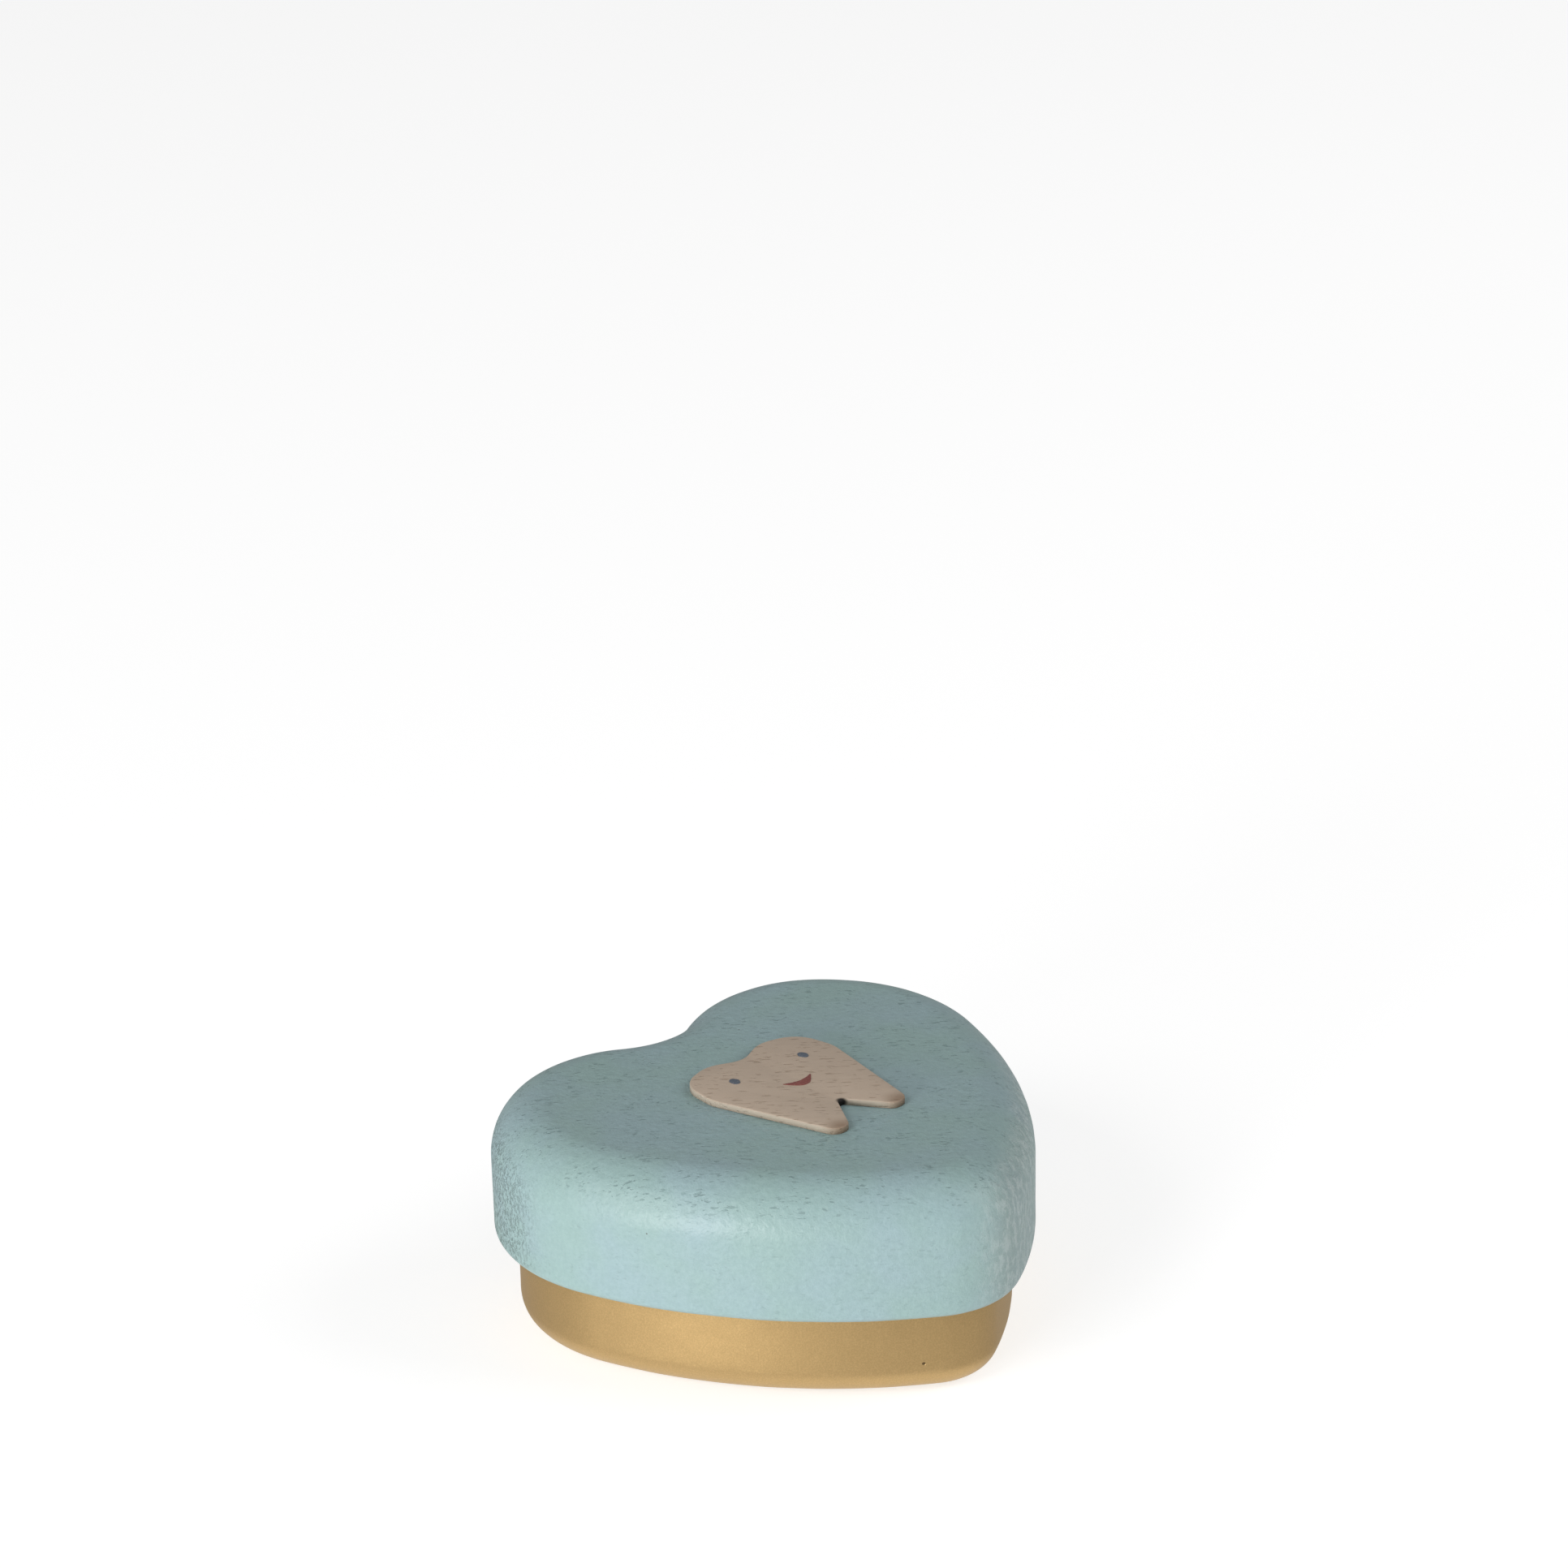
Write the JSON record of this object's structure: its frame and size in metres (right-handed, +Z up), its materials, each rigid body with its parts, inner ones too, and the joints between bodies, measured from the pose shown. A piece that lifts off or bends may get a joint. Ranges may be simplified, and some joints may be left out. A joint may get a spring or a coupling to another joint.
{
  "type": "heart shaped keepsake box",
  "caption": "Small heart-shaped wooden box for milk teeth: a gold cup with a rounded pale blue cap lid that lifts off, and a tooth plaque on top.",
  "frame": {"origin": "under the middle of the box, on the surface it stands on", "axes": "+Z up, the way the lid lifts; X across the two lobes of the heart, which is the widest extent; -Y towards the heart's tip and +Y towards its cleft"},
  "size_m": [0.05, 0.0472, 0.0214],
  "materials": {
    "gold_paint": "satin metallic gold paint on wood",
    "blue_paint": "satin pale blue paint on wood, fine grain showing through",
    "veneer": "matt bare wood veneer with laser-browned edges",
    "eye_ink": "matt blue-grey printed ink",
    "mouth_ink": "matt brick red printed ink"
  },
  "bodies": {
    "cup": {"base_cup": "gold_paint"},
    "lid": {"lid_cap": "blue_paint", "tooth_plaque": "veneer", "left_eye_print": "eye_ink", "right_eye_print": "eye_ink", "mouth_print": "mouth_ink"}
  },
  "joints": [
    {"name": "lid_lift", "type": "slide", "parent": "cup", "child": "lid", "axis": [0, 0, 1], "range_m": [0, 0.03]}
  ]
}
